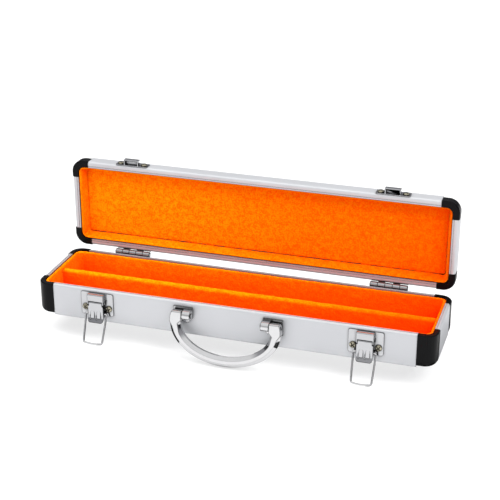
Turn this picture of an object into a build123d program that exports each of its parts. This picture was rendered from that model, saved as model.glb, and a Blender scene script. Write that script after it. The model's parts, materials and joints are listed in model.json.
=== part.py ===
from build123d import *
import math
import os
from dataclasses import dataclass

os.makedirs("parts", exist_ok=True)

# A long, shallow case for a flute. Two trays of aluminium profile, the base and the lid, are
# joined by two hinges at the back and shut by two draw latches at the front. All sizes are in
# millimetres. X runs along the case, -Y is the front, +Z is up, and the origin is the middle of
# the face that the base stands on.

# ---- the two trays
case_length = 420.0
case_depth = 96.5
base_height = 35.0
lid_height = 15.2
parting_gap = 0.4  # between the two rims when the case is shut
lid_open_angle = 90.0  # the lid at rest, held by the stops of the hinges

# ---- wall profiles
sheet = 1.4  # thickness of the aluminium
base_rim_width = 5.0
lid_rim_width = 6.5
base_lip_depth = 4.0
lid_lip_depth = 3.0
shoulder_radius = 2.6
foot_radius = 1.0
groove_radius = 0.35
groove_inset = 1.7  # centre of the groove from the inner edge of the rim
base_panel = 2.4
lid_panel = 1.6

# ---- moulded corners
corner_leg = 18.5
corner_proud = 0.6
corner_radius = 12.5
corner_ball = 6.0
corner_cap_bevel = 1.0
pocket_radius = 3.0
tongue_length = 8.0
tongue_play = 0.1

# ---- plush linings
base_wall_plush = 3.0
base_floor_plush = 3.0
base_plush_slope = 1.5  # degrees
lid_wall_plush = 1.6
lid_floor_plush = 1.2
lid_plush_slope = 16.0
plush_below_rim = 0.6
mitre_depth = 20.0  # how far the cuts between two linings reach in from the walls

# ---- divider between the front and the rear compartment
divider_board = 3.2
divider_plush = 2.0
divider_top = 31.2  # height above the face that the base stands on
divider_crown = 0.2  # half of the flat that is left along its top
divider_offset = 0.0  # from the middle of the case, towards the hinges

# ---- fasteners
screw_radius = 1.5
screw_head_radius = 3.5
screw_head_height = 1.5
rivet_head_radius = 2.6
rivet_head_height = 1.0
hole_play = 0.05

# ---- hinges
hinge_from_end = 67.4  # middle of a hinge from the end of the case
hinge_width = 38.9
hinge_back = 3.5  # axis behind the rear faces
leaf_thickness = 1.2
base_leaf_height = 17.0
lid_leaf_height = 12.5
knuckle_radius = 3.1
knuckle_count = 5
knuckle_gap = 0.3
hinge_pin_radius = 1.5
hinge_pin_head_radius = 2.4
hinge_pin_head = 0.8
stop_reach = 3.2
stop_width = 6.0
stop_gap = 0.3
hinge_rivet_pitch = 24.0
base_rivet_drop = 11.0
leaf_corner_radius = 2.5
lid_rivet_rise = 8.0

# ---- draw latches
latch_from_end = 68.3  # middle of a latch from the end of the case
latch_plate_width = 35.5
latch_plate_height = 25.2
latch_plate_top = 2.5  # below the rim
latch_plate_thickness = 1.0
latch_plate_radius = 2.0
latch_sheet = 1.1
housing_width = 17.4
housing_top = 3.0  # below the rim
housing_height = 7.4
housing_rise = 6.3  # from the wall
housing_radius = 1.2
lever_pivot_drop = 13.0  # below the rim
lever_pivot_rise = 4.1  # from the wall
lever_pin_radius = 1.2
lever_pin_head_radius = 1.9
lever_pin_head = 0.5
lever_knuckle_radius = 2.1
lever_play = 0.4
lever_length = 20.6  # from its pivot to its tip
lever_tab_length = 4.6
lever_tab_rise = 2.6
lever_tab_bend = 4.0
lever_flange_depth = 4.2
lever_rib_width = 4.2
lever_rib_length = 8.2
lever_rib_pitch = 6.8
lever_rib_height = 1.1
lever_rib_radius = 2.0
lever_slot_width = 0.9
lever_slot_above = 3.2  # the bend
lever_slot_below = 2.0
bail_wire_radius = 1.0
bail_pivot_drop = 24.4  # below the rim
bail_pivot_rise = 3.9  # from the wall
bail_length = 31.2
bail_top_width = 22.8  # between the centres of the wires
bail_end_width = 20.6
bail_corner_radius = 2.6
bail_bow = 1.2  # of the bar across its end
bail_bow_radius = 40.0
bail_ear_radius = 1.8
bail_rest_angle = 25.0  # forward from hanging straight down
latch_screw_pitch = 25.6
latch_screw_drop = 19.3

# ---- keepers on the lid
keeper_width = 35.5
keeper_height = 10.5
keeper_start = 0.8  # from the parting plane
keeper_thickness = 0.9
keeper_radius = 1.5
claw_width = 16.4
claw_rise = 6.8
claw_wire_play = 0.3
claw_lip = 1.3
keeper_screw_pitch = 26.0
keeper_screw_rise = 5.8

# ---- handle
handle_mount_x = 47.3
mount_plate_width = 20.5
mount_plate_height = 17.0
mount_plate_top = 4.5  # below the rim
mount_plate_thickness = 1.2
mount_plate_chamfer = 5.0
mount_post_radius = 4.6
handle_pivot_drop = 10.6  # below the rim
handle_pivot_rise = 7.0  # from the wall
handle_pin_radius = 1.8
handle_pin_head = 0.8
handle_pin_head_radius = 2.7
handle_arm_in = 46.0
handle_arm_out = 56.0  # where the pins end
handle_arm_end = math.radians(35)  # how far round the bow the square edges reach
handle_thickness = 8.6
handle_bow_drop = 6.5  # centre of the bow below the pivots
handle_outer_x = 58.3
handle_outer_drop = 41.0
handle_inner_x = 47.3
handle_inner_drop = 30.5
handle_outer_bevel = 3.4
handle_inner_bevel = 2.2
handle_arm_rounding = 1.6  # of the arms' tops, which turn past the mount plates
handle_play = 0.35
mount_screw_depth = 3.5  # into the posts
handle_rest_angle = 11.0  # forward from hanging straight down

# ---- frames that the pieces are drawn in
half_length = case_length / 2
half_depth = case_depth / 2
hinge_x = half_length - hinge_from_end
latch_x = half_length - latch_from_end
hinge_axis = Vector(0, half_depth + hinge_back, base_height + parting_gap / 2)
along = Vector(1, 0, 0)
up = Vector(0, 0, 1)
front = Vector(0, -1, 0)

# the lid's own directions: from its rim to its top, and from its latches to its hinges
lid_out = up.rotate(Axis.X, -lid_open_angle)
lid_back = -front.rotate(Axis.X, -lid_open_angle)
lid_centre = hinge_axis - lid_back * (hinge_back + half_depth) + lid_out * (parting_gap / 2)

# each rim plane has its Z away from the opening of its tray
base_rim = Plane(origin=(0, 0, base_height), x_dir=along, z_dir=-up)
lid_rim = Plane(origin=lid_centre, x_dir=along, z_dir=lid_out)

# the two front faces, with X along, Y up the shut case and Z out of the wall
base_front = Plane(origin=up * base_height + front * half_depth, x_dir=along, z_dir=front)
lid_front = Plane(origin=lid_centre - lid_back * half_depth, x_dir=along, z_dir=-lid_back)


@dataclass
class Tray:
    name: str
    rim: Plane
    height: float
    rim_width: float
    lip_depth: float
    panel: float
    wall_plush: float
    floor_plush: float
    slope: float


base = Tray("base", base_rim, base_height, base_rim_width, base_lip_depth, base_panel,
            base_wall_plush, base_floor_plush, base_plush_slope)
lid = Tray("lid", lid_rim, lid_height, lid_rim_width, lid_lip_depth, lid_panel,
           lid_wall_plush, lid_floor_plush, lid_plush_slope)


def save(builder, name):
    builder.part.label = name
    export_step(builder.part, f"parts/{name}.step")


def inward_of(tray, side):
    # the direction from one wall of a tray to its middle
    forward = -front if tray is base else lid_back
    return {"front": forward, "rear": -forward, "left": along, "right": -along}[side]


def wall_reach(side):
    return half_depth if side in ("front", "rear") else half_length


def wall_run(side):
    whole = case_length if side in ("front", "rear") else case_depth
    return whole - 2 * corner_leg


def section_plane(tray, side):
    # X inward from the outer face, Y from the rim to the panel
    inward = inward_of(tray, side)
    origin = tray.rim.origin - inward * wall_reach(side)
    return Plane(origin=origin, x_dir=inward, z_dir=inward.cross(tray.rim.z_dir))


def face_plane(tray, side):
    # X along the wall, Y from the rim to the panel, Z into the tray
    inward = inward_of(tray, side)
    origin = tray.rim.origin - inward * wall_reach(side)
    return Plane(origin=origin, x_dir=tray.rim.z_dir.cross(inward), z_dir=inward)


# ---- where the fasteners go through the walls: X along the case, Y from the rim
latch_points = [(s * latch_x + t * latch_screw_pitch / 2, latch_screw_drop)
                for s in (-1, 1) for t in (-1, 1)]
mount_points = [(s * (handle_mount_x - mount_plate_width / 2 + mount_post_radius),
                 handle_pivot_drop) for s in (-1, 1)]
keeper_points = [(s * latch_x + t * keeper_screw_pitch / 2, keeper_screw_rise)
                 for s in (-1, 1) for t in (-1, 1)]
base_hinge_points = [(s * hinge_x + t * hinge_rivet_pitch / 2, base_rivet_drop)
                     for s in (-1, 1) for t in (-1, 1)]
lid_hinge_points = [(s * hinge_x + t * hinge_rivet_pitch / 2, lid_rivet_rise)
                    for s in (-1, 1) for t in (-1, 1)]
wall_points = {
    ("base", "front"): latch_points + mount_points,
    ("base", "rear"): base_hinge_points,
    ("lid", "front"): keeper_points,
    ("lid", "rear"): lid_hinge_points,
}


# ---- aluminium walls
def make_wall(tray, side):
    ledge = tray.height - tray.panel - sheet
    with BuildPart() as wall:
        with BuildSketch(section_plane(tray, side)) as section:
            with BuildLine():
                Polyline(
                    (0, 0), (tray.rim_width, 0), (tray.rim_width, tray.lip_depth),
                    (tray.rim_width - sheet, tray.lip_depth), (tray.rim_width - sheet, sheet),
                    (sheet, sheet), (sheet, ledge), (tray.rim_width, ledge),
                    (tray.rim_width, ledge + sheet), (sheet, ledge + sheet),
                    (sheet, tray.height), (0, tray.height), close=True,
                )
            make_face()
            fillet(section.vertices().sort_by_distance((0, 0))[0], shoulder_radius)
            fillet(section.vertices().sort_by_distance((sheet, sheet))[0], shoulder_radius - sheet)
            fillet(section.vertices().sort_by_distance((0, tray.height))[0], foot_radius)
            with Locations((tray.rim_width - groove_inset, 0)):
                Circle(groove_radius, mode=Mode.SUBTRACT)
        extrude(amount=wall_run(side) / 2, both=True)
        points = wall_points.get((tray.name, side), [])
        if points:
            with BuildSketch(face_plane(tray, side)):
                with Locations(points):
                    Circle(screw_radius + hole_play)
            extrude(amount=sheet, mode=Mode.SUBTRACT)
    save(wall, f"{tray.name}_wall_{side}")


# ---- liner boards behind the plush, two alike in each file
def make_boards(tray, sides, name):
    with BuildPart() as boards:
        for side in sides:
            board_top = tray.lip_depth
            board_end = tray.height - tray.panel - sheet
            with BuildSketch(section_plane(tray, side)):
                with Locations(((sheet + tray.rim_width) / 2, (board_top + board_end) / 2)):
                    Rectangle(tray.rim_width - sheet, board_end - board_top)
            extrude(amount=wall_run(side) / 2, both=True)
            if (tray.name, side) == ("base", "front"):
                with BuildSketch(face_plane(tray, side)):
                    with Locations(mount_points):
                        Circle(screw_radius + hole_play)
                extrude(amount=tray.rim_width, mode=Mode.SUBTRACT)
    save(boards, f"{tray.name}_{name}")


# ---- bottom and top panels, notched for the corners
def make_panel(tray, name):
    with BuildPart() as panel:
        with BuildSketch(tray.rim.offset(tray.height - tray.panel)):
            Rectangle(case_length - 2 * sheet, case_depth - 2 * sheet)
            with GridLocations(case_length - corner_leg, case_depth - corner_leg, 2, 2):
                Rectangle(corner_leg, corner_leg, mode=Mode.SUBTRACT)
        extrude(amount=tray.panel)
    save(panel, name)


# ---- moulded corners: the four of a tray are one piece turned a quarter each time
def corner_planes(tray):
    forward = -inward_of(tray, "front")
    inner = tray.rim.z_dir
    for lengthwise, crosswise, name in ((-1, 1, "front_left"), (1, 1, "front_right"),
                                        (-1, -1, "rear_left"), (1, -1, "rear_right")):
        point = tray.rim.origin + along * (lengthwise * half_length) + forward * (crosswise * half_depth)
        first = along * -lengthwise
        second = forward * -crosswise
        if first.cross(second).dot(inner) < 0:
            first, second = second, first
        yield name, Plane(origin=point, x_dir=first, z_dir=inner)


def make_corners(tray):
    for name, plane in corner_planes(tray):
        with BuildPart() as corner:
            reach = corner_leg + corner_proud
            with BuildSketch(plane) as outline:
                with Locations((-corner_proud, -corner_proud)):
                    Rectangle(reach, reach, align=Align.MIN)
                fillet(outline.vertices().sort_by_distance((-corner_proud, -corner_proud))[0],
                       corner_radius + corner_proud)
            extrude(amount=tray.height)
            fillet(outer_edges(corner, plane, tray.height), corner_ball)
            chamfer(outer_edges(corner, plane, 0), corner_cap_bevel)
            pocket = corner_leg - tray.rim_width
            with BuildSketch(plane) as hollow:
                with Locations((tray.rim_width, tray.rim_width)):
                    Rectangle(pocket, pocket, align=Align.MIN)
                fillet(hollow.vertices().sort_by_distance((tray.rim_width, tray.rim_width))[0],
                       pocket_radius)
            extrude(amount=tray.height - tray.panel, mode=Mode.SUBTRACT)
            # tongues that plug into the hollow heads of the two walls
            # and clear the bend inside them
            tongue_start = sheet + tongue_play + 0.3 * (shoulder_radius - sheet)
            tongue_width = tray.rim_width - sheet - tongue_play - tongue_start
            tongue_height = tray.lip_depth - tongue_start
            for turned in (False, True):
                start = (corner_leg, tongue_start)
                size = (tongue_length, tongue_width)
                if turned:
                    start, size = start[::-1], size[::-1]
                with BuildSketch(plane.offset(tongue_start)):
                    with Locations(start):
                        Rectangle(*size, align=Align.MIN)
                extrude(amount=tongue_height)
        save(corner, f"{tray.name}_corner_{name}")


def outer_edges(corner, plane, depth):
    # the edges of the corner's two outer faces and the bend between them, at one depth
    found = []
    for edge in corner.edges():
        middle = plane.to_local_coords(edge @ 0.5)
        if abs(middle.Z - depth) < 0.01 and min(middle.X, middle.Y) < corner_radius / 2:
            if max(middle.X, middle.Y) < corner_leg - 0.01:
                found.append(edge)
    return found


# ---- plush linings, mitred where they meet
def make_linings(tray):
    floor_level = tray.height - tray.panel - tray.floor_plush
    outer_length = case_length - 2 * tray.rim_width
    outer_depth = case_depth - 2 * tray.rim_width
    with BuildPart() as floor:
        with BuildSketch(tray.rim.offset(floor_level)):
            RectangleRounded(outer_length, outer_depth, pocket_radius)
        extrude(amount=tray.floor_plush)
    save(floor, f"{tray.name}_lining_floor")

    for side in ("front", "rear", "left", "right"):
        with BuildPart() as lining:
            with BuildSketch(tray.rim.offset(plush_below_rim)):
                RectangleRounded(outer_length, outer_depth, pocket_radius)
            extrude(amount=floor_level - plush_below_rim)
            with BuildSketch(tray.rim.offset(plush_below_rim)):
                Rectangle(outer_length - 2 * tray.wall_plush, outer_depth - 2 * tray.wall_plush)
            extrude(amount=floor_level - plush_below_rim, taper=tray.slope, mode=Mode.SUBTRACT)
            # the mitre: each lining keeps what lies between two cuts at 45 degrees
            inward = inward_of(tray, side)
            reach = wall_reach(side)
            half_run = half_length + half_depth - reach
            seen_from_wall = Plane(origin=tray.rim.origin, x_dir=inward.cross(tray.rim.z_dir),
                                   z_dir=tray.rim.z_dir)
            with BuildSketch(seen_from_wall):
                with BuildLine():
                    Polyline(
                        (-half_run, -reach), (half_run, -reach),
                        (half_run - mitre_depth, mitre_depth - reach),
                        (mitre_depth - half_run, mitre_depth - reach), close=True,
                    )
                make_face()
            extrude(amount=tray.height, mode=Mode.INTERSECT)
        save(lining, f"{tray.name}_lining_{side}")


# ---- divider: a board on the floor lining, and the plush folded over it
def make_divider():
    foot = base_panel + base_floor_plush
    board_top = divider_top - divider_plush
    cover_width = divider_board + 2 * divider_plush
    across = Plane(origin=(0, divider_offset, 0), x_dir=-front, z_dir=along)
    inner_length = case_length - 2 * (base_rim_width + base_wall_plush)
    inner_depth = case_depth - 2 * (base_rim_width + base_wall_plush)
    for piece in ("board", "cover"):
        with BuildPart() as divider:
            with BuildSketch(across) as section:
                with Locations((0, (foot + board_top) / 2)):
                    Rectangle(divider_board, board_top - foot)
                if piece == "cover":
                    with Locations((0, (foot + divider_top) / 2)):
                        Rectangle(cover_width, divider_top - foot)
                    top = section.vertices().group_by(Axis.Y)[-1]
                    fillet(top, cover_width / 2 - divider_crown)
                    with Locations((0, (foot + board_top) / 2)):
                        Rectangle(divider_board, board_top - foot, mode=Mode.SUBTRACT)
            extrude(amount=half_length, both=True)
            # its ends follow the slope of the end linings
            with BuildSketch(base.rim.offset(plush_below_rim)):
                Rectangle(inner_length, inner_depth)
            extrude(amount=base_height - plush_below_rim, taper=base_plush_slope,
                    mode=Mode.INTERSECT)
        save(divider, f"divider_{piece}")


# ---- hinges
knuckle_pitch = (hinge_width + knuckle_gap) / knuckle_count
knuckle_length = knuckle_pitch - knuckle_gap
knuckle_clear = knuckle_radius + knuckle_gap


def make_leaf(tray, side_name, centre, leaf_height, points, own_knuckles):
    # X out of the rear wall, Y from the hinge axis over the tray's own wall, Z along the axis
    outward = -inward_of(tray, "rear")
    over = tray.rim.z_dir
    plane = Plane(origin=hinge_axis + along * centre, x_dir=outward, z_dir=outward.cross(over))
    plate_middle = leaf_thickness / 2 - hinge_back
    with BuildPart() as leaf:
        with BuildSketch(plane):
            with Locations((plate_middle, (knuckle_clear + leaf_height) / 2)):
                Rectangle(leaf_thickness, leaf_height - knuckle_clear)
        extrude(amount=hinge_width / 2, both=True)
        corners = leaf.edges().filter_by(Axis(plane.origin, outward))
        fillet(corners.group_by(Axis(plane.origin, over))[-1], leaf_corner_radius)
        for k in own_knuckles:
            at = plane.offset((k - (knuckle_count - 1) / 2) * knuckle_pitch)
            with BuildSketch(at):
                Circle(knuckle_radius)
                with Locations((plate_middle, knuckle_clear / 2)):
                    Rectangle(leaf_thickness, knuckle_clear)
            extrude(amount=knuckle_length / 2, both=True)
            if tray is lid:
                # a heel that meets the base's leaf when the lid stands open
                heel_face = hinge_back - leaf_thickness - stop_gap
                with BuildSketch(at):
                    with Locations(((knuckle_radius + stop_reach) / 2,
                                    leaf_thickness / 2 - heel_face)):
                        Rectangle(knuckle_radius + stop_reach, leaf_thickness)
                extrude(amount=stop_width / 2, both=True)
        with BuildSketch(plane):
            Circle(hinge_pin_radius + hole_play)
        extrude(amount=hinge_width, both=True, mode=Mode.SUBTRACT)
        with BuildSketch(face_plane(tray, "rear")):
            with Locations(points):
                Circle(screw_radius + hole_play)
        extrude(amount=-leaf_thickness, mode=Mode.SUBTRACT)
    save(leaf, f"hinge_{side_name}_{tray.name}_leaf")


# ---- pins, screws and rivets
def make_pins(middles, length, radius, head_radius, head_height, name):
    # plain pins along X with a head at each end
    with BuildPart() as pins:
        for middle in middles:
            with BuildSketch(Plane(origin=middle, z_dir=along)):
                Circle(radius)
            extrude(amount=length / 2, both=True)
            for end in (-1, 1):
                tip = middle + along * (end * length / 2)
                with BuildSketch(Plane(origin=tip, z_dir=along * end)):
                    Circle(head_radius)
                extrude(amount=head_height)
    save(pins, name)


def make_fasteners(tray, side, points, stack, head_radius, head_height, name):
    # heads on top of a plate of thickness stack, and shanks through the wall behind it
    under_head = face_plane(tray, side).offset(-stack)
    with BuildPart() as group:
        with BuildSketch(under_head):
            with Locations(points):
                Circle(head_radius)
        extrude(amount=-head_height)
        with BuildSketch(under_head):
            with Locations(points):
                Circle(screw_radius)
        extrude(amount=stack + sheet)
    save(group, name)


# ---- draw latches, closed, with the bail hanging
lever_width = housing_width - 2 * lever_play
ear_drop = lever_pivot_drop + lever_knuckle_radius + 0.1
lever_face = lever_pivot_rise + lever_knuckle_radius
bail_pivot = base_front.from_local_coords((0, -bail_pivot_drop, bail_pivot_rise))


def latch_side_plane(centre):
    # X out of the front wall, Y up, Z along the case
    return Plane(origin=base_front.origin + along * centre, x_dir=front, z_dir=front.cross(up))


def make_latch_plate(side_name, centre):
    side_plane = latch_side_plane(centre)
    housing_end = housing_top + housing_height
    inner_width = housing_width - 2 * latch_sheet
    with BuildPart() as plate:
        with BuildSketch(side_plane) as outer:
            with Locations((housing_rise / 2, -(housing_top + ear_drop) / 2)):
                Rectangle(housing_rise, ear_drop - housing_top)
            fillet(outer.vertices().sort_by_distance((housing_rise, -housing_top))[0],
                   housing_radius)
            fillet(outer.vertices().sort_by_distance((housing_rise, -ear_drop))[0],
                   lever_knuckle_radius)
        extrude(amount=housing_width / 2, both=True)
        with BuildSketch(side_plane):
            # the hollow of the housing, and the open fork below it
            with Locations(((latch_plate_thickness + housing_rise - latch_sheet) / 2,
                            -(housing_top + latch_sheet + ear_drop) / 2)):
                Rectangle(housing_rise - latch_sheet - latch_plate_thickness,
                          ear_drop - housing_top - latch_sheet)
            with Locations((latch_plate_thickness + housing_rise / 2,
                            -(housing_end + ear_drop) / 2)):
                Rectangle(housing_rise, ear_drop - housing_end)
        extrude(amount=inner_width / 2, both=True, mode=Mode.SUBTRACT)
        with BuildSketch(side_plane):
            with Locations((lever_pivot_rise, -lever_pivot_drop)):
                Circle(lever_pin_radius + hole_play)
        extrude(amount=housing_width, both=True, mode=Mode.SUBTRACT)
        with BuildSketch(base_front):
            with Locations((centre, -latch_plate_top - latch_plate_height / 2)):
                RectangleRounded(latch_plate_width, latch_plate_height, latch_plate_radius)
        extrude(amount=latch_plate_thickness)
        with BuildSketch(face_plane(base, "front")):
            with Locations(latch_points):
                Circle(screw_radius + hole_play)
        extrude(amount=-latch_plate_thickness, mode=Mode.SUBTRACT)
    save(plate, f"latch_{side_name}_plate")


def make_lever(side_name, centre):
    side_plane = latch_side_plane(centre)
    tab_drop = lever_pivot_drop + lever_length - lever_tab_length
    tip_drop = lever_pivot_drop + lever_length
    fork_end = ear_drop + lever_play
    with BuildPart() as lever:
        # the pressed face, from its rolled knuckle down to the finger tab
        with BuildSketch(side_plane) as face:
            with BuildLine():
                Polyline(
                    (lever_face, -lever_pivot_drop), (lever_face, -tab_drop),
                    (lever_face + lever_tab_rise, -tip_drop),
                    (lever_face + lever_tab_rise - latch_sheet, -tip_drop),
                    (lever_face - latch_sheet, -tab_drop),
                    (lever_face - latch_sheet, -lever_pivot_drop), close=True,
                )
            make_face()
            fillet(face.vertices().sort_by_distance((lever_face, -tab_drop))[0], lever_tab_bend)
            fillet(face.vertices().sort_by_distance((lever_face - latch_sheet, -tab_drop))[0],
                   lever_tab_bend + latch_sheet)
            with Locations((lever_pivot_rise, -lever_pivot_drop)):
                Circle(lever_knuckle_radius)
        extrude(amount=lever_width / 2, both=True)
        with BuildSketch(side_plane) as flange:
            # the flanges that carry the bail
            with Locations((lever_face - lever_flange_depth / 2, -(fork_end + tab_drop) / 2)):
                Rectangle(lever_flange_depth, tab_drop - fork_end)
            heel = (lever_face - lever_flange_depth, -tab_drop)
            fillet(flange.vertices().sort_by_distance(heel)[0], lever_flange_depth / 2)
        extrude(amount=lever_width / 2, both=True)
        with BuildSketch(side_plane):
            with Locations((lever_face - latch_sheet - lever_flange_depth / 2,
                            -(fork_end + tab_drop) / 2)):
                Rectangle(lever_flange_depth, tab_drop - fork_end)
        extrude(amount=lever_width / 2 - latch_sheet, both=True, mode=Mode.SUBTRACT)
        # the top goes into the fork of the plate
        fork_half = housing_width / 2 - latch_sheet - lever_play
        for end in (-1, 1):
            with BuildSketch(side_plane.offset(end * fork_half)):
                with Locations((lever_pivot_rise, ear_drop - fork_end)):
                    Rectangle(4 * lever_knuckle_radius, 2 * ear_drop)
            extrude(amount=end * lever_width, mode=Mode.SUBTRACT)
        # bores for the pivot pin and for the ends of the bail
        with BuildSketch(side_plane):
            with Locations((lever_pivot_rise, -lever_pivot_drop)):
                Circle(lever_pin_radius + hole_play)
            with Locations((bail_pivot_rise, -bail_pivot_drop)):
                Circle(bail_wire_radius + hole_play)
        extrude(amount=lever_width, both=True, mode=Mode.SUBTRACT)
        # two pressed ribs that rise towards the bend, where each ends in a step
        rib_middles = [centre + s * lever_rib_pitch / 2 for s in (-1, 1)]
        with BuildSketch(base_front.offset(lever_face - latch_sheet / 2)) as ribs:
            with Locations([(x, lever_rib_length / 2 - tab_drop) for x in rib_middles]):
                Rectangle(lever_rib_width, lever_rib_length)
            fillet(ribs.vertices().group_by(Axis.Y)[-1], lever_rib_radius)
        extrude(amount=latch_sheet / 2 + lever_rib_height)
        with BuildSketch(side_plane):
            with BuildLine():
                Polyline(
                    (lever_face, lever_rib_length - tab_drop),
                    (lever_face + lever_rib_height, -tab_drop),
                    (lever_face + lever_rib_height, lever_rib_length - tab_drop), close=True,
                )
            make_face()
        extrude(amount=lever_width / 2, both=True, mode=Mode.SUBTRACT)
        # the slot beside each rib, across the bend
        slot_aside = (lever_rib_width + lever_slot_width) / 2
        slot_length = lever_slot_above + lever_slot_below
        slot_up = (lever_slot_above - lever_slot_below) / 2
        with BuildSketch(base_front.offset(lever_face - 2 * latch_sheet)):
            with Locations([(x - slot_aside, slot_up - tab_drop) for x in rib_middles]):
                Rectangle(lever_slot_width, slot_length)
        extrude(amount=3 * latch_sheet + lever_tab_rise, mode=Mode.SUBTRACT)
    save(lever, f"latch_{side_name}_lever")


def make_bail(side_name, centre):
    # a bent wire: its ends turn in through the flanges of the lever
    hang = (-up).rotate(Axis.X, -bail_rest_angle)
    plane = Plane(origin=bail_pivot + along * centre, x_dir=along, z_dir=hang.cross(along))
    end_x = lever_width / 2 - 1.5 * latch_sheet
    with BuildPart() as bail:
        with BuildLine(plane) as route:
            FilletPolyline(
                (-end_x, 0), (-bail_top_width / 2, 0), (-bail_end_width / 2, -bail_length),
                (0, -bail_length - bail_bow),
                (bail_end_width / 2, -bail_length), (bail_top_width / 2, 0), (end_x, 0),
                radius=[bail_ear_radius, bail_corner_radius, bail_bow_radius, bail_corner_radius,
                        bail_ear_radius],
            )
        with BuildSketch(Plane(origin=route.line @ 0, z_dir=route.line % 0)):
            Circle(bail_wire_radius)
        sweep()
    save(bail, f"latch_{side_name}_bail")


# ---- keepers: a plate with a hollow claw that the bail drops behind
def make_keeper(side_name, centre):
    wire_reach = bail_length - bail_pivot_drop - parting_gap  # above the rim of the lid
    claw_back = wire_reach - bail_wire_radius - claw_wire_play
    lip_under = bail_pivot_rise + bail_wire_radius + claw_wire_play
    side_plane = Plane(origin=lid_front.origin + along * centre, x_dir=-lid_back,
                       z_dir=lid_out.cross(lid_back))
    with BuildPart() as keeper:
        with BuildSketch(lid_front):
            with Locations((centre, keeper_start + keeper_height / 2)):
                RectangleRounded(keeper_width, keeper_height, keeper_radius)
        extrude(amount=keeper_thickness)
        with BuildSketch(side_plane):
            with BuildLine():
                Polyline(
                    (0, keeper_start), (claw_rise - 1, keeper_start), (claw_rise, keeper_start + 1),
                    (claw_rise, claw_back + claw_lip), (lip_under, claw_back + claw_lip),
                    (lip_under, claw_back), (0, claw_back), close=True,
                )
            make_face()
        extrude(amount=claw_width / 2, both=True)
        with BuildSketch(side_plane):
            hollow_rise = claw_rise - latch_sheet - keeper_thickness
            hollow_depth = claw_back - latch_sheet - keeper_start
            with Locations((keeper_thickness + hollow_rise / 2, keeper_start + hollow_depth / 2)):
                Rectangle(hollow_rise, hollow_depth)
        extrude(amount=claw_width / 2 - latch_sheet, both=True, mode=Mode.SUBTRACT)
        with BuildSketch(face_plane(lid, "front")):
            with Locations(keeper_points):
                Circle(screw_radius + hole_play)
        extrude(amount=-keeper_thickness, mode=Mode.SUBTRACT)
    save(keeper, f"keeper_{side_name}")


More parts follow.
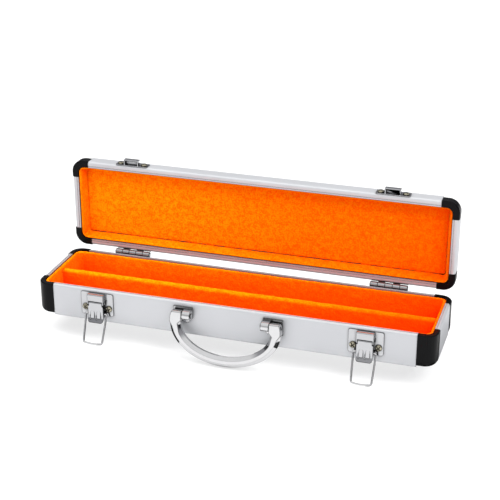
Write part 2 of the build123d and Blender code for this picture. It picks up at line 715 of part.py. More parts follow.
# ---- handle
def make_handle():
    hang = (-up).rotate(Axis.X, -handle_rest_angle)
    pivot = base_front.from_local_coords((0, -handle_pivot_drop, handle_pivot_rise))
    plane = Plane(origin=pivot, x_dir=along, z_dir=hang.cross(along))
    arm_top = handle_thickness / 2
    with BuildPart() as bow:
        with BuildSketch(plane):
            with Locations((0, -handle_bow_drop)):
                Ellipse(handle_outer_x, handle_outer_drop)
                Ellipse(handle_inner_x, handle_inner_drop, mode=Mode.SUBTRACT)
            with Locations((0, handle_outer_drop - handle_bow_drop)):
                Rectangle(2 * handle_outer_x, 2 * handle_outer_drop, mode=Mode.SUBTRACT)
        extrude(amount=handle_thickness / 2, both=True)
        edges = bow.edges().filter_by(GeomType.ELLIPSE).sort_by(SortBy.LENGTH)
        chamfer(edges[:2], handle_inner_bevel)
        chamfer(edges[2:], handle_outer_bevel)
        # the arms stay square, and run out on the flat of the bow
        notch_start = handle_bow_drop - (handle_inner_x - handle_arm_in)
        notch_run = handle_inner_x + handle_inner_bevel - handle_arm_in
        square_end = Vector((handle_outer_x - handle_outer_bevel) * math.cos(handle_arm_end),
                            -(handle_outer_drop - handle_outer_bevel) * math.sin(handle_arm_end)
                            - handle_bow_drop)
        for s in (-1, 1):
            with BuildSketch(plane):
                with BuildLine():
                    Polyline(
                        (s * handle_arm_in, arm_top), (s * handle_arm_in, -notch_start),
                        (s * (handle_arm_in + notch_run), -notch_start - notch_run),
                        (s * square_end.X, square_end.Y), (s * handle_outer_x, -handle_bow_drop),
                        (s * handle_outer_x, arm_top), close=True,
                    )
                make_face()
                with Locations((0, -handle_bow_drop)):
                    Ellipse(handle_outer_x, handle_outer_drop, mode=Mode.INTERSECT)
            extrude(amount=handle_thickness / 2, both=True)
        arm_tops = bow.edges().filter_by(Axis.X).group_by(Axis(pivot, plane.y_dir))[-1]
        fillet(arm_tops, handle_arm_rounding)
        with BuildSketch(Plane(origin=pivot, z_dir=along)):
            Circle(handle_pin_radius + hole_play)
        extrude(amount=2 * handle_outer_x, both=True, mode=Mode.SUBTRACT)
    save(bow, "handle_bow")

    post_end = handle_arm_in - handle_play
    post_start = handle_mount_x - mount_plate_width / 2
    for s, side_name in ((-1, "left"), (1, "right")):
        with BuildPart() as mount:
            with BuildSketch(base_front) as plate:
                with Locations((s * handle_mount_x, -mount_plate_top - mount_plate_height / 2)):
                    Rectangle(mount_plate_width, mount_plate_height)
                inner_foot = (s * post_start, -mount_plate_top - mount_plate_height)
                chamfer(plate.vertices().sort_by_distance(inner_foot)[0], mount_plate_chamfer)
            extrude(amount=mount_plate_thickness)
            with BuildSketch(Plane(origin=base_front.origin + along * (s * post_start),
                                   x_dir=front, z_dir=front.cross(up))):
                with Locations((handle_pivot_rise, -handle_pivot_drop)):
                    Circle(mount_post_radius)
                with Locations((handle_pivot_rise / 2, -handle_pivot_drop)):
                    Rectangle(handle_pivot_rise, 2 * mount_post_radius)
            extrude(amount=-s * (post_end - post_start))
            with BuildSketch(Plane(origin=pivot, z_dir=along)):
                Circle(handle_pin_radius + hole_play)
            extrude(amount=handle_outer_x, both=True, mode=Mode.SUBTRACT)
            with BuildSketch(face_plane(base, "front")):
                with Locations(mount_points):
                    Circle(screw_radius + hole_play)
            extrude(amount=-mount_screw_depth, mode=Mode.SUBTRACT)
        save(mount, f"handle_mount_{side_name}")

    with BuildPart() as pins:
        for s in (-1, 1):
            post_face = Plane(origin=pivot + along * (s * post_start), z_dir=along * -s)
            with BuildSketch(post_face):
                Circle(handle_pin_head_radius)
            extrude(amount=handle_pin_head)
            with BuildSketch(post_face):
                Circle(handle_pin_radius)
            extrude(amount=post_start - handle_arm_out)
    save(pins, "handle_pins")

    with BuildPart() as screws:
        inner_end = face_plane(base, "front").offset(base_rim_width)
        with BuildSketch(inner_end):
            with Locations(mount_points):
                Circle(screw_radius)
        extrude(amount=-base_rim_width - mount_screw_depth + hole_play)
    save(screws, "handle_mount_screws")


for tray in (base, lid):
    for side in ("front", "rear", "left", "right"):
        make_wall(tray, side)
    make_boards(tray, ("front", "rear"), "side_boards")
    make_boards(tray, ("left", "right"), "end_boards")
    make_corners(tray)
    make_linings(tray)
make_panel(base, "base_bottom_panel")
make_panel(lid, "lid_top_panel")
make_divider()

sides = (("left", -1), ("right", 1))
for side_name, s in sides:
    make_leaf(base, side_name, s * hinge_x, base_leaf_height, base_hinge_points, (0, 2, 4))
    make_leaf(lid, side_name, s * hinge_x, lid_leaf_height, lid_hinge_points, (1, 3))
    make_latch_plate(side_name, s * latch_x)
    make_lever(side_name, s * latch_x)
    make_bail(side_name, s * latch_x)
    make_keeper(side_name, s * latch_x)
make_handle()

make_pins([hinge_axis + along * (s * hinge_x) for side_name, s in sides],
          hinge_width, hinge_pin_radius, hinge_pin_head_radius, hinge_pin_head, "hinge_pins")
make_pins([base_front.from_local_coords((s * latch_x, -lever_pivot_drop, lever_pivot_rise))
           for side_name, s in sides],
          housing_width, lever_pin_radius, lever_pin_head_radius, lever_pin_head, "lever_pins")
make_fasteners(base, "front", latch_points, latch_plate_thickness,
               screw_head_radius, screw_head_height, "latch_screws")
make_fasteners(lid, "front", keeper_points, keeper_thickness,
               screw_head_radius, screw_head_height, "keeper_screws")
make_fasteners(base, "rear", base_hinge_points, leaf_thickness,
               rivet_head_radius, rivet_head_height, "hinge_base_rivets")
make_fasteners(lid, "rear", lid_hinge_points, leaf_thickness,
               rivet_head_radius, rivet_head_height, "hinge_lid_rivets")
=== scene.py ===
import json
from math import pi, radians

import bpy
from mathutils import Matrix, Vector


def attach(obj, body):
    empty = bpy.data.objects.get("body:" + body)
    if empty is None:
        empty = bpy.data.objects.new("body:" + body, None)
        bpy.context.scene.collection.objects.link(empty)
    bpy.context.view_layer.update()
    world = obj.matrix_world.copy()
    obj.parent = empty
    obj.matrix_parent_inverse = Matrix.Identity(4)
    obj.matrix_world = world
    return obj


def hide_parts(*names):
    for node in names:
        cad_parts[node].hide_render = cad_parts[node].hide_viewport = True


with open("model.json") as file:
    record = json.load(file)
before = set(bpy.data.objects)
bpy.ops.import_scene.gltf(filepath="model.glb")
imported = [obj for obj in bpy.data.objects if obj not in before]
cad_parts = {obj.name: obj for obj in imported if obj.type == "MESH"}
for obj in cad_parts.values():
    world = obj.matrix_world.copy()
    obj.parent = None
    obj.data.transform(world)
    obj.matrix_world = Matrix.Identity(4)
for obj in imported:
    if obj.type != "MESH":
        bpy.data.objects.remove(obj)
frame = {"nodes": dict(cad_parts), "record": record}
bpy.ops.object.select_all(action="DESELECT")
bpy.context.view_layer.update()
nodes = frame["nodes"]
bodyOf = {node: body for body, members in frame["record"]["behaviour"]["bodies"].items()
          for node in members}
slotOf = {part["node"]: part["material_slot"] for part in frame["record"]["subparts"]}
scene = bpy.context.scene
print("frame loaded:", len(nodes), "nodes")


class Signal:
    # one output of a node, with arithmetic
    def __init__(self, graph, socket):
        self.graph = graph
        self.socket = socket

    def math(self, operation, first, second):
        return self.graph.node("Math", {"operation": operation}, {0: first, 1: second})

    def __add__(self, other):
        return self.math("ADD", self, other)

    def __radd__(self, other):
        return self.math("ADD", other, self)

    def __sub__(self, other):
        return self.math("SUBTRACT", self, other)

    def __rsub__(self, other):
        return self.math("SUBTRACT", other, self)

    def __mul__(self, other):
        return self.math("MULTIPLY", self, other)

    def __rmul__(self, other):
        return self.math("MULTIPLY", other, self)


class Graph:
    # the nodes of a material or of the world
    def __init__(self, tree):
        self.tree = tree

    def node(self, kind, settings=None, inputs=None, output=0):
        made = self.tree.nodes.new("ShaderNode" + kind)
        for key, value in (settings or {}).items():
            if key == "stops":
                self.setStops(made.color_ramp.elements, value)
            else:
                setattr(made, key, value)
        for key, value in (inputs or {}).items():
            self.feed(made.inputs[key], value)
        return Signal(self, made.outputs[output])

    def setStops(self, elements, stops):
        # a new colour ramp has two stops already
        for count, (position, colour) in enumerate(stops):
            stop = elements[count] if count < 2 else elements.new(position)
            stop.position = position
            stop.color = colour

    def feed(self, socket, value):
        if isinstance(value, Signal):
            self.tree.links.new(value.socket, socket)
        else:
            socket.default_value = value

    def mix(self, factor, first, second):
        return self.node("Mix", {"data_type": "RGBA"}, {0: factor, 6: first, 7: second}, output=2)

    def ramp(self, factor, low, high, first=0.0, second=1.0):
        return self.node("MapRange", None, {0: factor, 1: low, 2: high, 3: first, 4: second})


class Finish(Graph):
    # a material and the nodes that feed its shader
    paintedShadeLow = 0.35  # openness at which the painted shade is darkest
    outlineEnds = (0.55, 0.95)

    def __init__(self, name, **constants):
        self.material = bpy.data.materials.new(name)
        self.material.use_nodes = True
        super().__init__(self.material.node_tree)
        self.shader = self.tree.nodes["Principled BSDF"]
        for key, value in constants.items():
            self.shader.inputs[key.replace("_", " ")].default_value = value
        self.place = self.node("TexCoord", output="Object")

    def noise(self, scale, detail=3.0, stretch=(1, 1, 1)):
        spot = self.node("Mapping", None, {"Vector": self.place, "Scale": stretch})
        return self.node("TexNoise", None, {"Vector": spot, "Scale": scale, "Detail": detail,
                                            "Roughness": 0.5})

    def openness(self, reach, **settings):
        return self.node("AmbientOcclusion", settings, {"Distance": reach}, output="AO")

    def paintedShade(self, reach, darkest, cleared):
        # painted shade: darker where two surfaces meet
        return self.ramp(self.openness(reach, samples=4), self.paintedShadeLow, cleared, darkest, 1.0)

    def outline(self, reach, darkest):
        # painted dark reflection: darker along the outer edges of thin parts
        depth = self.openness(reach, samples=6, inside=True, only_local=True)
        return self.ramp(depth, *self.outlineEnds, darkest, 1.0)

    def tint(self, colour, factor):
        # a colour scaled by a number
        return self.node("VectorMath", {"operation": "SCALE"}, {0: colour, 3: factor})

    def bump(self, height, strength, distance):
        normal = self.node("Bump", None, {"Height": height, "Strength": strength,
                                          "Distance": distance})
        self.feed(self.shader.inputs["Normal"], normal)

    def colour(self, value):
        self.feed(self.shader.inputs["Base Color"], value)

    def roughness(self, value, unevenness, pattern):
        # unevenness is the change from the lowest to the highest point of the pattern
        self.feed(self.shader.inputs["Roughness"], value + unevenness * (pattern - 0.5))


def satinAluminium():
    look = {"colour": (0.570, 0.577, 0.598, 1), "shade": (0.530, 0.538, 0.560, 1),
            "clouds": (14, 2), "cloudEnds": (0.35, 0.7), "streaks": (900, 4, (0.03, 1, 1)),
            "paintedShade": (0.0030, 0.18, 0.90), "outline": (0.0006, 0.35),
            "roughness": 0.46, "unevenness": 0.14, "bump": (0.12, 0.0002)}
    finish = Finish("satinAluminium", Metallic=0.5)
    streaks = finish.noise(*look["streaks"])
    cloudy = finish.ramp(finish.noise(*look["clouds"]), *look["cloudEnds"])
    metal = finish.mix(cloudy, look["colour"], look["shade"])
    # painted shade where two surfaces meet, and painted dark reflections along the edges
    darkened = finish.paintedShade(*look["paintedShade"]) * finish.outline(*look["outline"])
    finish.colour(finish.tint(metal, darkened))
    finish.roughness(look["roughness"], look["unevenness"], streaks)
    finish.bump(streaks, *look["bump"])
    return finish.material


def blackPlastic():
    look = {"colour": (0.003, 0.003, 0.0035, 1), "shine": 0.09, "grain": (1400, 3),
            "ribs": (500, 2, (1, 1, 0.05)), "grainShare": 0.5,
            "roughness": 0.30, "unevenness": 0.25, "bump": (0.10, 0.0002)}
    finish = Finish("blackPlastic", Base_Color=look["colour"], Specular_IOR_Level=look["shine"])
    grain = finish.noise(*look["grain"])
    ribs = finish.noise(*look["ribs"])
    finish.roughness(look["roughness"], look["unevenness"], ribs)
    finish.bump(look["grainShare"] * grain + ribs, *look["bump"])
    return finish.material


def plush():
    # orange pile: painted darker and redder towards the right end, a deeper orange in corners as
    # painted shade, and a lighter yellow along its edges as a painted highlight
    look = {"cornerShade": (0.90, 0.066, 0.0, 1), "edgeHighlight": (1.0, 0.42, 0.006, 1),
            "base": (1.0, 0.165, 0.0, 1), "pile": (1.0, 0.34, 0.002, 1),
            "rightShadeBase": (0.90, 0.070, 0.0, 1), "rightShadePile": (0.93, 0.13, 0.0, 1),
            "rightShade": (-0.12, 0.23), "rightShadeEdge": (9, 2), "rightShadeStray": 0.10,
            "tufts": (620, 3), "naps": (190, 3), "napColour": 0.6, "napHeight": 0.5,
            "raised": (0.66, 0.94), "shelter": 0.05, "sheltered": (0.25, 0.80),
            "edgeHighlightReach": 0.0008, "edgeHighlightShare": 0.8, "sheen": (1.0, 0.52, 0.02, 1),
            "bump": (0.8, 0.0009)}
    finish = Finish("plush", Roughness=0.95, Specular_IOR_Level=0.0, Sheen_Weight=0.50,
                    Sheen_Roughness=0.45, Sheen_Tint=look["sheen"])
    tufts = finish.noise(*look["tufts"])
    naps = finish.noise(*look["naps"])
    raised = finish.ramp(tufts + look["napColour"] * naps, *look["raised"])
    # painted shade: darker and redder towards the right end
    along = finish.node("SeparateXYZ", None, {0: finish.place})
    stray = look["rightShadeStray"] * (finish.noise(*look["rightShadeEdge"]) - 0.5)
    rightShade = finish.ramp(along + stray, *look["rightShade"])
    light = finish.mix(raised, finish.mix(rightShade, look["base"], look["rightShadeBase"]),
                       finish.mix(rightShade, look["pile"], look["rightShadePile"]))
    # painted shade: a deeper orange in sheltered corners and creases
    clear = finish.ramp(finish.openness(look["shelter"], samples=4), *look["sheltered"])
    cornerShaded = finish.mix(clear, look["cornerShade"], light)
    # painted highlight: a lighter yellow along the outer edges of the plush
    highlighted = look["edgeHighlightShare"] * (1 - finish.outline(look["edgeHighlightReach"], 0.0))
    finish.colour(finish.mix(highlighted, cornerShaded, look["edgeHighlight"]))
    finish.bump(tufts + look["napHeight"] * naps, *look["bump"])
    return finish.material


plating = {"smears": (160, 3), "smeared": 0.93, "paintedShade": (0.0042, 0.02, 0.92),
           "outlineDark": 0.12, "unevenness": 0.05}


def platedSteel(name, colour, roughness, edge=0.0006):
    finish = Finish(name, Metallic=1.0)
    smears = finish.noise(*plating["smears"])
    smeared = (*(plating["smeared"] * part for part in colour[:3]), 1)
    metal = finish.mix(smears, colour, smeared)
    # painted shade where two surfaces meet, and painted dark reflections along the edges
    darkened = finish.paintedShade(*plating["paintedShade"]) * finish.outline(edge, plating["outlineDark"])
    finish.colour(finish.tint(metal, darkened))
    finish.roughness(roughness, plating["unevenness"], smears)
    return finish.material


def plainFinish(name, pattern, first, second, **constants):
    # two close colours, mixed by a noise
    finish = Finish(name, **constants)
    finish.colour(finish.mix(finish.noise(*pattern), first, second))
    return finish.material


def linerBoard():
    return plainFinish("linerBoard", (400, 4, (0.2, 1, 1)), (0.32, 0.22, 0.13, 1),
                       (0.45, 0.33, 0.22, 1), Roughness=0.8)


def studioWhite():
    # a lit table: it glows a little, so the shadows on it stay pale
    return plainFinish("studioWhite", (30, 2), (0.40, 0.40, 0.40, 1), (0.42, 0.42, 0.42, 1),
                       Roughness=0.9, Specular_IOR_Level=0.0, Emission_Color=(1, 1, 1, 1),
                       Emission_Strength=0.62)


def cardBlack():
    return plainFinish("cardBlack", (8, 2), (0.02, 0.02, 0.02, 1), (0.04, 0.04, 0.04, 1),
                       Roughness=1.0, Specular_IOR_Level=0.0)


finishes = {
    "aluminium_profile": satinAluminium(),
    "corner_plastic": blackPlastic(),
    "plush": plush(),
    "liner_board": linerBoard(),
    "nickel": platedSteel("nickel", (0.50, 0.505, 0.52, 1), 0.12),
    "chrome": platedSteel("chrome", (0.62, 0.62, 0.63, 1), 0.05, edge=0.0010),
    "fasteners": platedSteel("fastenerNickel", (0.42, 0.39, 0.30, 1), 0.20),
}
finishes["aluminium_panel"] = finishes["aluminium_profile"]
# a brighter copy of the chrome for the bails: painted light on the thin wires
bailWire = platedSteel("bailWire", (0.72, 0.72, 0.73, 1), 0.09, edge=0.0002)
print("materials made:", len(set(finishes.values())))

joined = 1e-6  # points this close are one
aligned = 1e-5  # and this close are in line


def activate(piece):
    bpy.ops.object.select_all(action="DESELECT")
    piece.select_set(True)
    bpy.context.view_layer.objects.active = piece


def duplicate(pattern, name):
    piece = pattern.copy()
    piece.data = pattern.data.copy()
    piece.name = name
    scene.collection.objects.link(piece)
    return piece


def paint(piece, slot):
    piece.data.materials.clear()
    piece.data.materials.append(finishes[slot])


def hand(piece, slot, body, replaced=()):
    # settle a finished piece: its finish, its slot and what it rides on
    activate(piece)
    bpy.ops.object.transform_apply(location=True, rotation=True, scale=True)
    paint(piece, slot)
    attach(piece, body)
    if replaced:
        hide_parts(*replaced)


def modify(piece, kind, **settings):
    activate(piece)
    modifier = piece.modifiers.new(kind.lower(), kind)
    for key, value in settings.items():
        setattr(modifier, key, value)
    bpy.ops.object.modifier_apply(modifier=modifier.name)


def cutAway(piece, tool):
    modify(piece, "BOOLEAN", object=tool, operation="DIFFERENCE", solver="EXACT")
    bpy.data.objects.remove(tool)


def smoothBelow(piece, angle):
    # smooth shading, except across edges sharper than the angle
    activate(piece)
    bpy.ops.object.shade_smooth_by_angle(angle=angle)


def pickFaces(piece, wanted):
    # in edit mode: select the faces whose centre and normal pass a test
    bpy.ops.mesh.select_mode(type="FACE")
    bpy.ops.mesh.select_all(action="DESELECT")
    bpy.ops.object.mode_set(mode="OBJECT")
    for face in piece.data.polygons:
        face.select = wanted(face.center, face.normal)
    bpy.ops.object.mode_set(mode="EDIT")


def pickEdges(piece, wanted):
    # in edit mode: select the edges whose two ends pass a test
    bpy.ops.mesh.select_mode(type="EDGE")
    bpy.ops.mesh.select_all(action="DESELECT")
    bpy.ops.object.mode_set(mode="OBJECT")
    for edge in piece.data.edges:
        edge.select = wanted(*[piece.data.vertices[corner].co for corner in edge.vertices])
    bpy.ops.object.mode_set(mode="EDIT")


def block(name, size, centre):
    bpy.ops.object.select_all(action="DESELECT")
    bpy.ops.mesh.primitive_cube_add(size=1, location=centre, scale=size)
    piece = bpy.context.object
    piece.name = name
    bpy.ops.object.transform_apply(location=True, rotation=True, scale=True)
    return piece


leverTab = {"corner": 0.0026, "segments": 6, "below": 0.0035, "sheet": 0.0015, "slant": 0.0006}


def roundTab(piece):
    # the two corners of a lever's finger tab
    corners = [corner.co for corner in piece.data.vertices]
    lowest = min(corner.z for corner in corners)
    sides = [choose(corner.x for corner in corners) for choose in (min, max)]

    def tabCorner(one, two):
        low = max(one.z, two.z) < lowest + leverTab["below"] / 2
        outer = min(abs(one.x - side) for side in sides) < aligned
        across = abs(one.x - two.x) < aligned and abs(one.y - two.y) < leverTab["sheet"]
        return low and outer and across and abs(one.z - two.z) < leverTab["slant"]

    bpy.ops.object.mode_set(mode="EDIT")
    pickEdges(piece, tabCorner)
    bpy.ops.mesh.bevel(offset=leverTab["corner"], segments=leverTab["segments"], affect="EDGES")
    bpy.ops.object.mode_set(mode="OBJECT")


# edges are this much softer, by a word in the node's name: the first that fits counts
softened = {"wall": 0.0002, "panel": 0.0002, "corner": 0.0003, "plate": 0.00045,
            "lever": 0.0004, "leaf": 0.0002, "keeper": 0.0004, "mount": 0.0003,
            "handle_bow": 0.0005, "bail": 0, "pins": 0.0003}
dressing = {"segments": 2, "sharp": radians(28), "flat": radians(0.5), "flatWeight": 100,
            "bowWeight": 50}


def dress(node, edge):
    # a clean copy of a node, with its sharp edges softened
    piece = duplicate(nodes[node], node + ".dressed")
    piece.parent = None
    for key in list(piece.keys()):
        del piece[key]
    activate(piece)
    bpy.ops.object.mode_set(mode="EDIT")
    bpy.ops.mesh.select_all(action="SELECT")
    bpy.ops.mesh.remove_doubles(threshold=joined)
    bpy.ops.mesh.customdata_custom_splitnormals_clear()
    bpy.ops.mesh.dissolve_limited(angle_limit=dressing["flat"])
    bpy.ops.object.mode_set(mode="OBJECT")
    if node.endswith("lever"):
        roundTab(piece)
    if edge:
        modify(piece, "BEVEL", width=edge, segments=dressing["segments"], limit_method="ANGLE",
               angle_limit=dressing["sharp"], harden_normals=False)
    smoothBelow(piece, dressing["sharp"])
    weight = dressing["bowWeight"] if node == "handle_bow" else dressing["flatWeight"]
    modify(piece, "WEIGHTED_NORMAL", keep_sharp=True, weight=weight)
    hand(piece, slotOf[node], bodyOf[node], [node])
    # the bails take the brighter chrome copy, which is painted light
    if node.endswith("bail"):
        piece.data.materials[0] = bailWire


for node in sorted(nodes):
    kinds = [kind for kind in softened if kind in node]
    if kinds and slotOf[node] not in ("liner_board", "plush") and "screws" not in node:
        dress(node, softened[kinds[0]])
    else:
        paint(nodes[node], slotOf[node])
print("hardware and trays dressed")

# heads stand on a level across an axis, and face outward
screwPlan = {"radius": 0.0035, "height": 0.0019, "flat": 0.0012, "slotWidth": 0.0009,
             "slotLength": 0.0042, "slotDepth": 0.0012, "turns": (0.5, 1.3, 0.9, 2.3),
             "rows": {"latch_screws": ("y", -0.04925, (0, -1, 0)),
                      "keeper_screws": ("z", 0.1361, (0, 0, 1))}}
rivetPlan = {"radius": 0.0026, "height": 0.0012, "rim": 0.0002, "turns": (0,),
             "rows": {"hinge_base_rivets": ("y", 0.04945, (0, 1, 0)),
                      "hinge_lid_rivets": ("z", 0.0375, (0, 0, -1))}}
headAngle = radians(35)


def dome(name, radius, height, rim):
    # a low dome standing on its rim, closed below
    bpy.ops.mesh.primitive_uv_sphere_add(segments=40, ring_count=20, radius=radius,
                                         location=(0, 0, 0))
    head = bpy.context.object
    head.name = name
    bpy.ops.object.mode_set(mode="EDIT")
    bpy.ops.mesh.select_all(action="SELECT")
    bpy.ops.mesh.bisect(plane_co=(0, 0, 0), plane_no=(0, 0, 1), use_fill=False, clear_inner=True)
    bpy.ops.mesh.select_all(action="SELECT")
    bpy.ops.transform.resize(value=(1, 1, (height - rim) / radius), center_override=(0, 0, 0))
    bpy.ops.transform.translate(value=(0, 0, rim))
    pickEdges(head, lambda one, two: max(one.z, two.z) < rim + joined)
    bpy.ops.mesh.extrude_region_move(TRANSFORM_OT_translate={"value": (0, 0, -rim)})
    bpy.ops.mesh.edge_face_add()
    bpy.ops.mesh.select_all(action="SELECT")
    bpy.ops.mesh.normals_make_consistent(inside=False)
    bpy.ops.object.mode_set(mode="OBJECT")
    return head


def crossHead():
    # a domed screw with a cross recess
    plan = screwPlan
    head = dome("crossHead", plan["radius"], plan["height"], plan["height"] - plan["flat"])
    for turn in (0, pi / 2):
        slot = block("slot", (plan["slotLength"], plan["slotWidth"], 2 * plan["slotDepth"]),
                     (0, 0, plan["height"]))
        slot.rotation_euler.z = turn
        cutAway(head, slot)
    return head


def islands(piece):
    # the lowest and highest corner of each loose solid of a node, left to right
    work = bpy.data.objects.new("loose", piece.data.copy())
    scene.collection.objects.link(work)
    activate(work)
    bpy.ops.object.mode_set(mode="EDIT")
    bpy.ops.mesh.select_all(action="SELECT")
    bpy.ops.mesh.remove_doubles(threshold=joined)
    bpy.ops.mesh.separate(type="LOOSE")
    bpy.ops.object.mode_set(mode="OBJECT")
    found = []
    for part in bpy.context.selected_objects[:]:
        spots = [corner.co for corner in part.data.vertices]
        found.append([Vector([choose(spot[k] for spot in spots) for k in range(3)])
                      for choose in (min, max)])
        bpy.data.objects.remove(part)
    return sorted(found, key=lambda box: box[0].x)


def placeHeads(pattern, plan):
    # one copy of the head on each solid of the plan's nodes
    smoothBelow(pattern, headAngle)
    turns = plan["turns"]
    for node, (axis, level, outward) in plan["rows"].items():
        for count, (low, high) in enumerate(islands(nodes[node])):
            head = duplicate(pattern, node + "." + str(count + 1))
            head.location = (low + high) / 2
            head.location["xyz".index(axis)] = level
            head.rotation_euler = Vector(outward).to_track_quat("Z", "Y").to_euler()
            activate(head)
            bpy.ops.object.transform_apply(location=False, rotation=True, scale=False)
            turn = turns[count % len(turns)]
            head.rotation_euler = [turn * abs(part) for part in outward]
            hand(head, "fasteners", bodyOf[node], [node])
    bpy.data.objects.remove(pattern)


placeHeads(crossHead(), screwPlan)
placeHeads(dome("rivetHead", rivetPlan["radius"], rivetPlan["height"], rivetPlan["rim"]),
           rivetPlan)
print("screws and rivets placed")

pile = {"voxel": 0.0012, "wave": 0.0008, "waveSize": 0.011, "waveLevel": 0.62,
        "tuft": 0.00055, "tuftSize": 0.0021, "tuftLevel": 0.6}


def cloudTexture(name, size):
    texture = bpy.data.textures.new(name, type="CLOUDS")
    texture.noise_scale = size
    texture.noise_depth = 2
    return texture


waveClouds = cloudTexture("plushWaves", pile["waveSize"])
tuftClouds = cloudTexture("plushTufts", pile["tuftSize"])


def nap(piece, smoothing):
    # fine even quads, softened, then raised in waves and tufts
    modify(piece, "REMESH", mode="VOXEL", voxel_size=pile["voxel"], use_smooth_shade=True)
    modify(piece, "SMOOTH", factor=0.5, iterations=smoothing)
    modify(piece, "DISPLACE", texture=waveClouds, strength=pile["wave"],
           mid_level=pile["waveLevel"])
    modify(piece, "DISPLACE", texture=tuftClouds, strength=pile["tuft"],
           mid_level=pile["tuftLevel"])
    activate(piece)
    bpy.ops.object.shade_smooth()


# each lining is made lying flat with its mouth upwards, then turned and moved into its tray
baseTub = {"body": "base", "outside": (0.4098, 0.0863), "floor": 0.0029, "depth": 0.0288,
           "wall": 0.0030, "slope": 0.026, "mouth": 0.0050, "back": 0.0068, "turned": 0.0014,
           "turn": 0, "place": (0, 0, 0.00255)}
lidTub = {"body": "lid", "outside": (0.4068, 0.0833), "floor": 0.0016, "depth": 0.0113,
          "wall": 0.0019, "slope": 0.287, "mouth": 0.0050, "back": 0.0068, "turned": 0.0008,
          "turn": pi / 2, "place": (0, 0.0655, 0.08695)}
liningPlan = {"sides": ("front", "rear", "left", "right"), "wallSmoothing": 3,
              "floorSmoothing": 1, "proud": 1.001, "overlap": 0.00065, "floorMouth": 0.8}
uprightEdge = {"lean": 0.003, "least": 0.001}


def upright(one, two):
    leans = max(abs(one.x - two.x), abs(one.y - two.y)) >= uprightEdge["lean"]
    return not leans and abs(one.z - two.z) > uprightEdge["least"]


def roundUprights(piece, offset, segments):
    pickEdges(piece, upright)
    bpy.ops.mesh.bevel(offset=offset, segments=segments, affect="EDGES")


def settle(piece, plan):
    # from lying flat to its place in the tray
    piece.rotation_euler.x = plan["turn"]
    piece.location = plan["place"]


def finishLining(piece, plan, smoothing, names):
    nap(piece, smoothing)
    settle(piece, plan)
    hand(piece, "plush", plan["body"], [plan["body"] + "_lining_" + name for name in names])


def liningWalls(plan):
    # one band of plush round the tray, narrowing towards the floor
    length, width = plan["outside"]
    height = plan["floor"] + plan["depth"]
    band = block(plan["body"] + "LiningWalls", (length, width, height), (0, 0, height / 2))
    inside = (length - 2 * plan["wall"], width - 2 * plan["wall"])
    hollow = block("hollow", (*inside, height), (0, 0, height / 2))
    hollow.scale = (1, 1, liningPlan["proud"])
    draw = height * plan["slope"]
    bpy.ops.object.mode_set(mode="EDIT")
    pickFaces(hollow, lambda centre, normal: normal.z < -0.5)
    bpy.ops.transform.resize(value=(1 - 2 * draw / inside[0], 1 - 2 * draw / inside[1], 1))
    roundUprights(hollow, plan["mouth"], 8)
    bpy.ops.object.mode_set(mode="OBJECT")
    activate(band)
    bpy.ops.object.mode_set(mode="EDIT")
    roundUprights(band, plan["back"], 4)
    bpy.ops.object.mode_set(mode="OBJECT")
    cutAway(band, hollow)
    finishLining(band, plan, liningPlan["wallSmoothing"], liningPlan["sides"])


def liningFloor(plan):
    # a covered board, whose turned edges leave a crease along the walls
    drop = plan["wall"] + plan["depth"] * plan["slope"] - liningPlan["overlap"]
    size = (plan["outside"][0] - 2 * drop, plan["outside"][1] - 2 * drop, plan["floor"])
    pad = block(plan["body"] + "LiningFloor", size, (0, 0, plan["floor"] / 2))
    bpy.ops.object.mode_set(mode="EDIT")
    roundUprights(pad, plan["mouth"] * liningPlan["floorMouth"], 6)
    pickEdges(pad, lambda one, two: min(one.z, two.z) > plan["floor"] - joined)
    bpy.ops.mesh.bevel(offset=plan["turned"], segments=3, affect="EDGES")
    bpy.ops.object.mode_set(mode="OBJECT")
    finishLining(pad, plan, liningPlan["floorSmoothing"], ["floor"])


filletPlan = {"radius": 0.0065, "thick": 0.0024, "proud": 0.0005}


def filletPattern():
    # a square of corner plastic with a hollow round bite
    radius, thick = filletPlan["radius"], filletPlan["thick"]
    fillet = block("filletPattern", (radius, radius, thick), (0, 0, 0))
    bpy.ops.mesh.primitive_cylinder_add(vertices=64, radius=radius, depth=2 * thick,
                                        location=(-radius / 2, -radius / 2, 0))
    cutAway(fillet, bpy.context.object)
    smoothBelow(fillet, radians(30))
    return fillet


def placeFillets(pattern, plan):
    # round the four corners of a tray's mouth
    reach = [side / 2 - filletPlan["radius"] / 2 for side in plan["outside"]]
    level = plan["floor"] + plan["depth"] + filletPlan["proud"] - filletPlan["thick"] / 2
    for count, (right, back) in enumerate(((1, 1), (-1, 1), (-1, -1), (1, -1))):
        fillet = duplicate(pattern, plan["body"] + "MouthFillet." + str(count + 1))
        fillet.rotation_euler.z = count * pi / 2
        fillet.location = (right * reach[0], back * reach[1], level)
        activate(fillet)
        bpy.ops.object.transform_apply(location=True, rotation=True, scale=True)
        settle(fillet, plan)
        hand(fillet, "corner_plastic", plan["body"])


mouthFillet = filletPattern()
for tub in (baseTub, lidTub):
    liningWalls(tub)
    liningFloor(tub)
    placeFillets(mouthFillet, tub)
bpy.data.objects.remove(mouthFillet)

dividerPlan = {"length": 0.4034, "width": 0.0076, "height": 0.0256, "foot": 0.0055,
               "crown": 0.0032, "smoothing": 2}


def dividerCover():
    # a folded strip of plush over the board, with a rounded top
    plan = dividerPlan
    cover = block("dividerCover", (plan["length"], plan["width"], plan["height"]),
                  (0, 0, plan["foot"] + plan["height"] / 2))
    middle = plan["foot"] + plan["height"] / 2
    bpy.ops.object.mode_set(mode="EDIT")
    pickEdges(cover, lambda one, two: min(one.z, two.z) > middle
              and abs(one.y - two.y) < plan["width"] / 2)
    bpy.ops.mesh.bevel(offset=plan["crown"], segments=6, affect="EDGES")
    bpy.ops.object.mode_set(mode="OBJECT")
    nap(cover, plan["smoothing"])
    hand(cover, "plush", "base", ["divider_cover"])


dividerCover()
print("plush linings made")

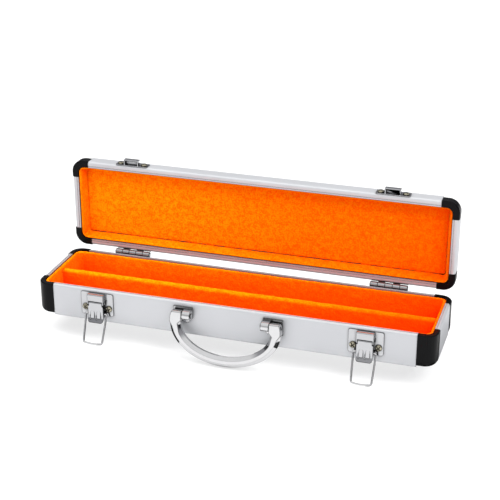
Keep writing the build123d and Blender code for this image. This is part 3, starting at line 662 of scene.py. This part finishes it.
# the cards lie on the floor, where only the bright metal mirrors them
stagePlan = {"floorLevel": -0.024, "floorSize": 6.0, "plinthSize": (0.36, 0.036),
             "plinthBack": 0.027, "cardRise": 0.0004,
             "cards": {"underCard": ((0.50, 0.167), (0, 0.0295)),
                       "leftOuterCard": ((0.042, 0.016), (-0.184, -0.072)),
                       "leftInnerCard": ((0.059, 0.016), (-0.1095, -0.072)),
                       "rightInnerCard": ((0.040, 0.016), (0.100, -0.072)),
                       "rightOuterCard": ((0.059, 0.016), (0.1755, -0.072))}}


def settleStage(name, material):
    piece = bpy.context.object
    piece.name = name
    piece.data.materials.append(material)
    return piece


def makeStage():
    level, white = stagePlan["floorLevel"], studioWhite()
    bpy.ops.mesh.primitive_plane_add(size=stagePlan["floorSize"], location=(0, 0, level))
    settleStage("floor", white)
    bpy.ops.mesh.primitive_cube_add(size=1, location=(0, stagePlan["plinthBack"], level / 2),
                                    scale=(*stagePlan["plinthSize"], -level))
    settleStage("plinth", white)
    black = cardBlack()
    for name, (size, spot) in stagePlan["cards"].items():
        bpy.ops.mesh.primitive_plane_add(size=1, location=(*spot, level + stagePlan["cardRise"]))
        card = settleStage(name, black)
        card.scale = (*size, 1)
        card.visible_camera = card.visible_diffuse = card.visible_shadow = False


lightPlan = {
    "window": {"spot": (1.3, -0.7, 1.5), "aim": (0, 0, 0.05), "size": (1.3, 1.0), "watts": 27,
               "mirrored": False},
    "ceiling": {"spot": (-0.5, -0.1, 1.7), "aim": (0, 0, 0), "size": (1.8, 1.6), "watts": 28,
                "mirrored": False},
    "leftFill": {"spot": (-1.6, -1.2, 1.2), "aim": (0, 0, 0.05), "size": (1.0, 1.0), "watts": 3,
                 "mirrored": True},
}


def makeLight(name, plan):
    bpy.ops.object.light_add(type="AREA", location=plan["spot"])
    light = bpy.context.object
    light.name = name
    light.data.shape = "RECTANGLE"
    light.data.size, light.data.size_y = plan["size"]
    light.data.energy = plan["watts"]
    aim = Vector(plan["aim"]) - Vector(plan["spot"])
    light.rotation_euler = aim.to_track_quat("-Z", "Y").to_euler()
    light.visible_glossy = plan["mirrored"]


cameraPlan = {"spot": (0.36962, -1.14313, 0.60131), "turn": 17.55, "tilt": 23.51, "lens": 92.73,
              "sensor": 36, "near": 0.01, "far": 50}


def makeCamera():
    plan = cameraPlan
    bpy.ops.object.camera_add(location=plan["spot"])
    camera = bpy.context.object
    camera.rotation_euler = (radians(90 - plan["tilt"]), 0, radians(plan["turn"]))
    camera.data.sensor_width = plan["sensor"]
    camera.data.lens = plan["lens"]
    camera.data.clip_start, camera.data.clip_end = plan["near"], plan["far"]
    scene.camera = camera


def grey(level, blue=None):
    return (level, level, level if blue is None else blue, 1)


# stops run from straight down, 0, to straight up, 1
worldPlan = {"stops": [(0.46, grey(0.03, 0.035)), (0.59, grey(0.04, 0.045)),
                       (0.66, grey(0.40, 0.42)), (0.76, grey(0.48, 0.50)),
                       (0.85, grey(1.1)), (1.0, grey(1.2))],
             "frontEnds": (-0.80, -0.93), "frontWall": grey(0.95), "backdrop": grey(1.15),
             "strength": 0.9}


def makeWorld():
    # a pale ceiling over darker walls, which the bright metal mirrors
    plan = worldPlan
    world = bpy.data.worlds.new("studio")
    world.use_nodes = True
    graph = Graph(world.node_tree)
    way = graph.node("TexCoord", output="Generated")
    inward, upward = [graph.node("SeparateXYZ", None, {0: way}, output=axis) for axis in "YZ"]
    walls = graph.node("ValToRGB", {"stops": plan["stops"]}, {0: graph.ramp(upward, -1.0, 1.0)})
    front = graph.ramp(inward, *plan["frontEnds"])
    mirrored = graph.mix(front, walls, plan["frontWall"])
    # plain white behind the case, whatever the metal mirrors
    seen = graph.node("LightPath", output="Is Camera Ray")
    background = graph.tree.nodes["Background"]
    graph.feed(background.inputs["Color"], graph.mix(seen, mirrored, plan["backdrop"]))
    graph.feed(background.inputs["Strength"], plan["strength"])
    scene.world = world


makeStage()
for name, plan in lightPlan.items():
    makeLight(name, plan)
makeCamera()
makeWorld()
scene.view_settings.view_transform = "Standard"  # plain colours, with a clean white
print("stage, lights and camera set")
